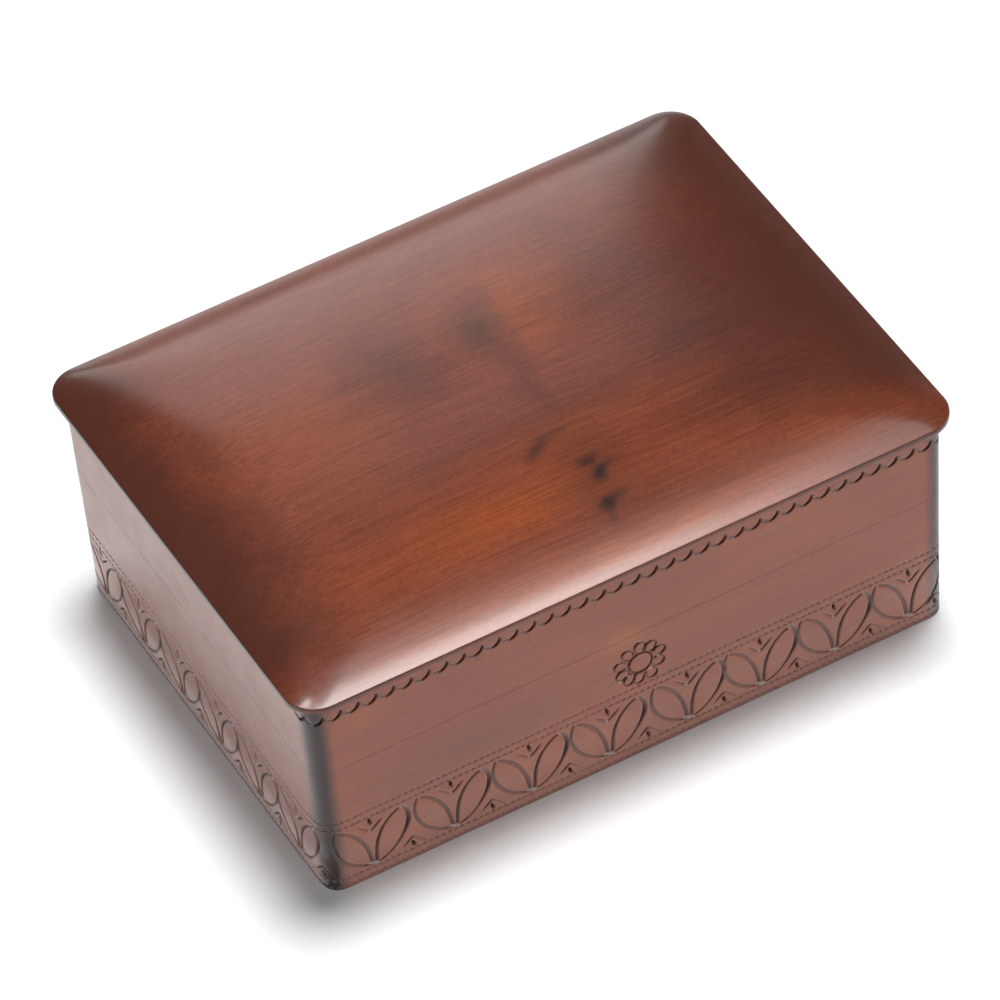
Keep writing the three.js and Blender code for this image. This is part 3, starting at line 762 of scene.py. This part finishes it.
def rosettePatch(u, z, count, firstPoint, keep, others, halfSpan, halfCross):
    # The rosette has a finer net of its own, two columns for each of the board's and rows 0.24 mm apart. The
    # board's faces there are left out, and the faces round the net take up its edge points.
    reach, middle = rosette["reach"], rosette["middle"]
    left, right = (int(np.searchsorted(u, middle[0] + side * reach)) for side in (-1, 1))
    bottom, top = (int(np.searchsorted(z, height)) for height in (rosette["low"], middle[1] + reach))
    fineU = np.interp(np.arange(2 * (right - left) + 1) / 2, np.arange(right - left + 1), u[left:right + 1])
    steps = np.maximum(1, np.round(np.diff(z[bottom:top + 1]) / case["fineRow"]).astype(int))
    onRow = summed(steps)
    fineZ = np.interp(np.arange(onRow[-1] + 1), onRow, z[bottom:top + 1])
    uu, zz = np.meshgrid(fineU, fineZ, indexing="ij")
    depth, paintedGlint = carveRosette(np.zeros_like(uu), uu, zz), np.zeros_like(uu)
    # Highlights painted on the rosette's cuts
    for atU, atZ in rosette["glints"]:
        paintGlint(paintedGlint, np.s_[:, :], rosette["paintedGlint"], uu - atU, zz - atZ, rosette["glint"])
    carveDashes(depth, paintedGlint, fineU, fineZ)
    x, y, nx, ny = outerFace(halfSpan, halfCross, uu, zz)
    net = np.stack([x - nx * depth, y - ny * depth, zz], -1)
    # The net's edge points that fall on the board's own rows and columns are the board's points
    index = firstPoint + np.arange(uu.size).reshape(uu.shape)
    for side, row in ((0, bottom), (-1, top)):
        index[::2, side] = np.arange(left, right + 1) * count + row
    for side, column in ((0, left), (-1, right)):
        index[side, onRow] = column * count + np.arange(bottom, top + 1)
    own = index >= firstPoint
    index = np.where(own, np.cumsum(own.ravel()).reshape(own.shape) - 1 + firstPoint, index)
    keep[left - 1:right + 1, bottom:top] = False
    keep[left:right, bottom - 1:top + 1] = False
    others += np.stack([index[:-1, :-1], index[1:, :-1], index[1:, 1:], index[:-1, 1:]], -1).reshape(-1, 4).tolist()
    for row, low, high in zip(range(bottom, top), onRow, onRow[1:]):
        outerLeft, outerRight = (left - 1) * count + row, (right + 1) * count + row
        others.append([outerLeft, *index[0, low:high + 1].tolist(), outerLeft + 1])
        others.append([outerRight + 1, *index[-1, low:high + 1].tolist()[::-1], outerRight])
    for column in range(left, right):
        low, foot = 2 * (column - left), column * count
        others.append([foot + bottom - 1, foot + count + bottom - 1, *index[low:low + 3, 0].tolist()[::-1]])
        others.append([*index[low:low + 3, -1].tolist(), foot + count + top + 1, foot + top + 1])
    tone = strokeShading(depth, fineU, fineZ)
    shades = {"cutShade": cutShade(depth, tone), "cutShadedStroke": tone, "cutPaintedGlint": paintedGlint, "cornerShade": np.zeros_like(uu)}
    return net[own], {key: shade[own] for key, shade in shades.items()}


boards = {}
for turn, wall in enumerate(("front", "right", "back", "left")):
    for course in ("lower", "upper"):
        boards[wall, course] = wallBoard(f"{wall}_wall_{course}_board", wall, turn, course == "upper")

# The lid

lid = {"overhang": 4.3, "cornerRadius": 12.5, "underside": 94.8, "rim": 2.6, "rise": 12.0, "headroom": 0.004,
       # The rim's rounds below and above; the upper one turns by topTurn radians
       "round": 0.45, "topRound": 0.8, "roll": 0.5, "topTurn": 1.15,
       "fullness": 4.0, "cornerShare": 1.7, "cornerBlend": 3.0, "easeFrom": 1.0, "easeTo": 12.0, "levelShare": 0.85,
       "rings": 76, "crowding": 1.6, "cornerSteps": 26, "fineSteps": 8, "longSteps": 48, "shortSteps": 36,
       # Darker along the rim's upper edge, stain and a painted dark reflection: share, how far below the rim's top,
       # reach
       "rimShade": (0.8, 0.5, 0.35)}


def quarters():
    # A quarter round, and a quarter that eases into the straights, both from (1, 0) to (0, 1). The second one's
    # turn is 90 x (t - sin(2 pi t) / (2 pi)), and its x and y are the sums of that turn's sine and cosine.
    angle = np.linspace(0, math.pi / 2, lid["cornerSteps"] + 1)
    t = np.linspace(0, 1, lid["fineSteps"] * lid["cornerSteps"] + 1)
    turned = math.pi / 2 * (t - np.sin(2 * math.pi * t) / (2 * math.pi))
    turned = (turned[1:] + turned[:-1]) / 2
    down, out = (summed(f(turned))[::lid["fineSteps"]] for f in (np.sin, np.cos))
    return np.stack([np.cos(angle), np.sin(angle)], -1), np.stack([1 - down / down[-1], out / out[-1]], -1)


evenQuarter, easedQuarter = quarters()


def lidRing(inset, radius, height):
    # A rounded rectangle as points at one height: quarters joined by straight runs, always the same count.
    # Further in, the quarters go over from the round to the eased one.
    halfX, halfY = (case[side] / 2 + lid["overhang"] - inset - radius for side in ("width", "depth"))
    corners = [(halfX, halfY), (-halfX, halfY), (-halfX, -halfY), (halfX, -halfY)]
    share = softStep((inset - lid["easeFrom"]) / (lid["easeTo"] - lid["easeFrom"]))
    quarter = radius * ((1 - share) * evenQuarter + share * easedQuarter)
    arcs = [corner + quarter @ aboutUpright(number * math.pi / 2)[:2, :2] for number, corner in enumerate(corners)]
    parts = []
    for arc, following, steps in zip(arcs, arcs[1:] + arcs[:1], (lid["longSteps"], lid["shortSteps"]) * 2):
        t = np.linspace(0, 1, steps + 1)[1:-1, None]
        parts += [arc, arc[-1] * (1 - t) + following[0] * t]
    outline = np.concatenate(parts)
    return np.column_stack([outline, np.full(len(outline), height)])


def lidBoard():
    # Rings from the underside up: the rim's rounded edges, then contours whose height rises as
    # rise x (1 - (1 - inset / half depth) ^ fullness) and whose corners first tighten, then open out with the inset
    halfDepth = case["depth"] / 2 + lid["overhang"]
    plan, edge, top, roll = (lid[k] for k in ("cornerRadius", "round", "topRound", "roll"))
    low, rimTop = lid["underside"], lid["underside"] + lid["rim"]
    levels = [(edge * (1 - math.sin(b)), low + edge * (1 - math.cos(b))) for b in np.linspace(0, math.pi / 2, 5)]
    levels += [(roll * (1 - math.cos(b)), rimTop - top + top * math.sin(b)) for b in np.linspace(0, lid["topTurn"], 7)]
    rings = [lidRing(inset, plan - inset, height) for inset, height in levels]
    start, startHeight = levels[-1]
    rise, blendPower = rimTop + lid["rise"] - startHeight - lid["headroom"], lid["cornerBlend"]
    for share in np.linspace(0, 1, lid["rings"]) ** lid["crowding"]:
        inset = start + (lid["levelShare"] * halfDepth - start) * share
        opened, most = math.hypot(max(plan - inset, 0), lid["cornerShare"] * inset), halfDepth - inset
        radius = (opened ** -blendPower + most ** -blendPower) ** (-1 / blendPower)
        height = startHeight + rise * (1 - (1 - (inset - start) / (halfDepth - start)) ** lid["fullness"])
        rings.append(lidRing(inset, radius, height))
    rings = np.stack(rings)
    # Stain and a painted dark reflection along the rim's upper edge
    share, below, reach = lid["rimShade"]
    shade = share * np.exp(-((rings[..., 2] - rimTop + below) / reach) ** 2)
    return makePiece("lid_board_domed", rings.reshape(-1, 3), [f[::-1] for f in tube(rings)], lidMaterial, "lid",
                     "lid_board", {"cornerShade": shade.ravel()}, (-2, -1))


lidPiece = lidBoard()
print("lid made")

# Hinges

hinge = {"places": {"left": -70.0, "right": 70.0}, "length": 30.0, "leafReach": 8.5, "leaf": 1.0, "leafEase": 0.08,
         "barrel": 1.8, "pin": 0.9, "pinClearance": 0.1, "pinProud": 0.3, "pinOffset": 0.5, "pinEase": 0.2,
         "knuckles": 5, "knuckleGap": 0.2, "mortiseSlack": 0.2, "barrelSlack": 0.3, "lidGap": 0.3,
         "screws": (-10.0, 0.0, 10.0), "screwSetback": 3.2, "screwLength": 5.5, "tipRadius": 0.05, "tipLength": 1.4,
         "shankRadius": 0.8, "headRadius": 1.5, "headDepth": 0.7, "headRim": 0.04, "headEase": 0.05,
         "screwSlack": 0.08, "slotWidth": 0.42, "slotDepth": 0.35,
         # How far the cutting solids reach past the brass and the wood that they cut
         "past": 1.0, "behind": 8.0, "around": 3.0, "boreReach": 5.0, "slotPast": 0.5}
pinY = case["depth"] / 2 + hinge["pinOffset"]
pinZ = case["height"] + hinge["lidGap"] / 2
leafEdge = pinY - hinge["leafReach"]
screwY = leafEdge + hinge["screwSetback"]
halfHinge = hinge["length"] / 2
leafFace = {side: pinZ + side * hinge["lidGap"] / 2 for side in (-1, 1)}  # side is -1 in the wall and 1 in the lid


def hingeRecess(middle, side):
    # Blocks for the leaf's mortise and for the barrel's notch
    half, round_ = halfHinge + hinge["mortiseSlack"], hinge["barrel"] + hinge["barrelSlack"]
    past, behind = leafFace[side] - side * hinge["past"], pinY + hinge["behind"]
    blocks = ((half, leafEdge - hinge["mortiseSlack"], behind, leafFace[side] + side * hinge["leaf"]),
              (half + hinge["pinProud"], pinY - round_, behind + hinge["past"], pinZ + side * round_))
    return [blockCutter((middle - reach, front, min(past, floor)), (middle + reach, back, max(past, floor)))
            for reach, front, back, floor in blocks]


for piece, side in ((boards["back", "upper"], -1), (lidPiece, 1)):
    cutAway(piece, [cutter for middle in hinge["places"].values() for cutter in hingeRecess(middle, side)])
print("hinge recesses cut")


def screwProfile(slack):
    # Tip, shank, and the countersunk head flush with the leaf, as (radius, height)
    shank, head = hinge["shankRadius"] + slack, hinge["headRadius"] + slack
    return [(hinge["tipRadius"], -hinge["screwLength"] - slack), (shank, hinge["tipLength"] - hinge["screwLength"]),
            (shank, -hinge["headDepth"]), (head, -hinge["headRim"]),
            (head - hinge["headEase"], hinge["past"] if slack else 0.0)]


def makeScrew(name, x, side, body):
    # A slotted countersunk screw, its slot turned differently on each; the slot cuts across the head
    place = (x, screwY, leafFace[side])
    points, faces = turnedSolid(screwProfile(0), place, (0, 0, -side))
    piece = makePiece(name + "_slotted", points, faces, brassMaterial, body, name)
    half, wide = hinge["headRadius"] + hinge["slotPast"], hinge["slotWidth"] / 2
    low, high = sorted((side * hinge["slotDepth"], -side * hinge["slotPast"]))
    cutAway(piece, [blockCutter((-half, -wide, low), (half, wide, high), place, 0.6 + x * 0.37 + side)])


def makeLeaf(name, middle, side, body):
    # The leaf's section, a plate that runs into the rolled barrel, carried along the hinge; the other
    # leaf's knuckles, the pin's bore and the screws' seats are cut out of it
    face, back, barrel, ease = leafFace[side], leafFace[side] + side * hinge["leaf"], hinge["barrel"], hinge["leafEase"]
    atFace, atBack = (math.asin(off / barrel) for off in (hinge["lidGap"] / 2, hinge["lidGap"] / 2 + hinge["leaf"]))
    sweep = np.linspace(math.pi - atBack, -math.pi - atFace, 49)
    arc = np.stack([pinY + barrel * np.cos(sweep), pinZ + side * barrel * np.sin(sweep)], -1)
    section = np.concatenate([[[leafEdge + ease, face], [leafEdge, face + side * ease], [leafEdge, back - side * ease],
                               [leafEdge + ease, back]], arc])
    rings = np.stack([np.column_stack([np.full(len(section), x), section]) for x in (middle - halfHinge,
                                                                                     middle + halfHinge)])
    faces = [f[::-side] for f in tube(rings)]
    piece = makePiece(name + "_rolled", rings.reshape(-1, 3), faces, brassMaterial, body, name,
                      None, range(len(faces)))
    pitch, last = hinge["length"] / hinge["knuckles"], hinge["knuckles"] - 1
    gap, past, around = hinge["knuckleGap"], hinge["past"], hinge["around"]
    cutters = []
    for index in range(1 if side < 0 else 0, hinge["knuckles"], 2):
        start = middle - halfHinge + index * pitch
        low, high = start - (gap / 2 if index else past), start + pitch + (gap / 2 if index < last else past)
        cutters.append(blockCutter((low, pinY - barrel - gap, pinZ - around), (high, pinY + around, pinZ + around)))
    bore, boreEnd = hinge["pin"] + hinge["pinClearance"], halfHinge + hinge["boreReach"]
    cutters.append(turnedCutter([(bore, -boreEnd), (bore, boreEnd)], (middle, pinY, pinZ), (1, 0, 0)))
    for offset in hinge["screws"]:
        cutters.append(turnedCutter(screwProfile(hinge["screwSlack"]), (middle + offset, screwY, face), (0, 0, -side)))
    cutAway(piece, cutters)


def makePin(name, middle):
    # A plain pin with eased ends, a little longer than the barrel
    radius, ease, half = hinge["pin"], hinge["pinEase"], halfHinge + hinge["pinProud"]
    profile = [(ease, -half), (radius - ease, -half), (radius, ease - half), (radius, half - ease),
               (radius - ease, half), (ease, half)]
    points, faces = turnedSolid(profile, (middle, pinY, pinZ), (1, 0, 0), 32)
    makePiece(name + "_turned", points, faces, brassMaterial, "case", name)


for label, middle in hinge["places"].items():
    for place, side, body in (("case", -1, "case"), ("lid", 1, "lid")):
        makeLeaf(f"{label}_hinge_{place}_leaf", middle, side, body)
        for number, offset in enumerate(hinge["screws"], 1):
            makeScrew(f"{label}_hinge_{place}_screw_{number}", middle + offset, side, body)
    makePin(f"{label}_hinge_pin", middle)
print("hinges made")

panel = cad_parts["bottom_panel"]
panel.data.materials.clear()
panel.data.materials.append(panelMaterial)

# Floor and light

studio = {"floorHalf": 6000.0, "floorColour": (0.85, 0.86, 0.868, 1), "worldLow": 1.0, "worldHigh": 0.05,
          "worldFrom": 0.10, "worldTo": 0.34,
          # Broad far lights: elevation, azimuth, angle, strength. The key throws the soft shadow forward and to
          # the left, the fill lightens it.
          "suns": {"key": (81.0, 38.0, 17.0, 3.3), "fill": (60.0, 232.0, 50.0, 0.48)}, "sunDistance": 3000.0,
          "rearPlace": (470.0, 1500.0, 1025.0), "rearSize": (840.0, 1350.0), "rearPower": 7.8,
          # Softboxes above the front edge, seen in gloss only: left, right, front, back, power
          "overhead": {"front": (-700, 430, -560, -250, 24.0), "middle": (-700, 560, -560, -150, 4.5),
                       "soft": (-700, 620, -560, -20, 4.0), "left": (-620, -290, -200, 120, 7.5)},
          # White cards laid beside the walls, seen in their gloss only
          "card": {"left": (-340, -126, -95, 320, 0.042), "left_foot": (-134, -123.6, -86, 105, 0.004),
                   "left_low": (-160, -134, -95, 130, 0.030), "front_foot": (-120, 138, -107, -89.6, 0.011)},
          "heights": {"overhead": (1250.0, -1), "card": (0.4, 1)}}  # height of such a sheet, and 1 facing up


def makeFloor():
    # One flat pale sheet at the case's foot
    half = studio["floorHalf"]
    mesh = meshOf("floor", [(-half, -half, 0), (half, -half, 0), (half, half, 0), (-half, half, 0)], [(0, 1, 2, 3)])
    material, tree, shader, _ = newMaterial("floor_paper")
    setInputs(tree, shader, {"Base Color": studio["floorColour"], "Roughness": 0.85, "Specular IOR Level": 0.1})
    mesh.materials.append(material)
    addObject("floor", mesh)


def hangLamp(name, kind, place, aim):
    # A lamp at a place, turned to face a point
    lamp = addObject(name, bpy.data.lights.new(name, kind))
    lamp.location = Vector(place) * millimetre
    away = (Vector(place) - Vector(aim)).normalized()
    lamp.rotation_euler = away.to_track_quat("Z", "Y").to_euler()
    return lamp


def makeSoftbox(name, place, size, power, aim):
    # A rectangular softbox
    lamp = hangLamp(name, "AREA", place, aim)
    lamp.data.shape, lamp.data.size, lamp.data.size_y = "RECTANGLE", size[0] * millimetre, size[1] * millimetre
    lamp.data.energy = power
    return lamp


def makeGlossSheet(name, sheet, height, facing):
    # A level sheet of light seen in the lacquer's gloss only, facing up for 1 and down for -1
    left, right, front, back, power = sheet
    x, y = (left + right) / 2, (front + back) / 2
    lamp = makeSoftbox(name, (x, y, height), (right - left, back - front), power, (x, y, height + facing))
    lamp.visible_diffuse = lamp.visible_camera = False


def makeSun(name, elevation, azimuth, angle, strength):
    # A broad far light by its height and compass angle, kept out of the lacquer's gloss
    up, around = math.radians(elevation), math.radians(azimuth)
    toSun = Vector((math.cos(around) * math.cos(up), math.sin(around) * math.cos(up), math.sin(up)))
    lamp = hangLamp(name, "SUN", toSun * studio["sunDistance"], (0, 0, 0))
    lamp.data.angle = math.radians(angle)
    lamp.data.energy = strength
    lamp.visible_glossy = False


def makeWorld():
    # White near the horizon in front, dark elsewhere, as before a white screen in a dim room
    world = bpy.data.worlds.new("studio")
    bpy.context.scene.world = world
    world.use_nodes = True
    tree = world.node_tree
    direction = addNode(tree, "ShaderNodeTexCoord").outputs["Generated"]
    _, forward, up = addNode(tree, "ShaderNodeSeparateXYZ", {0: direction}).outputs
    level = calc(tree, "MULTIPLY", smoothRange(tree, up, studio["worldFrom"], studio["worldTo"], 1.0, 0.0),
                 smoothRange(tree, forward, 0.2, -0.2))
    level = smoothRange(tree, level, 0.0, 1.0, studio["worldHigh"], studio["worldLow"])
    setInputs(tree, tree.nodes["Background"], {"Strength": level, "Color": (1, 1, 1, 1)})


makeFloor()
makeWorld()
for label, sun in studio["suns"].items():
    makeSun(label, *sun)
makeSoftbox("rear_panel", studio["rearPlace"], studio["rearSize"], studio["rearPower"],
            (studio["rearPlace"][0], 0, studio["rearPlace"][2]))
for kind, (height, facing) in studio["heights"].items():
    for label, sheet in studio[kind].items():
        makeGlossSheet(f"{kind}_{label}", sheet, height, facing)
bpy.context.scene.view_settings.view_transform = "Standard"
bpy.context.scene.view_settings.look = "None"
print("stage set")
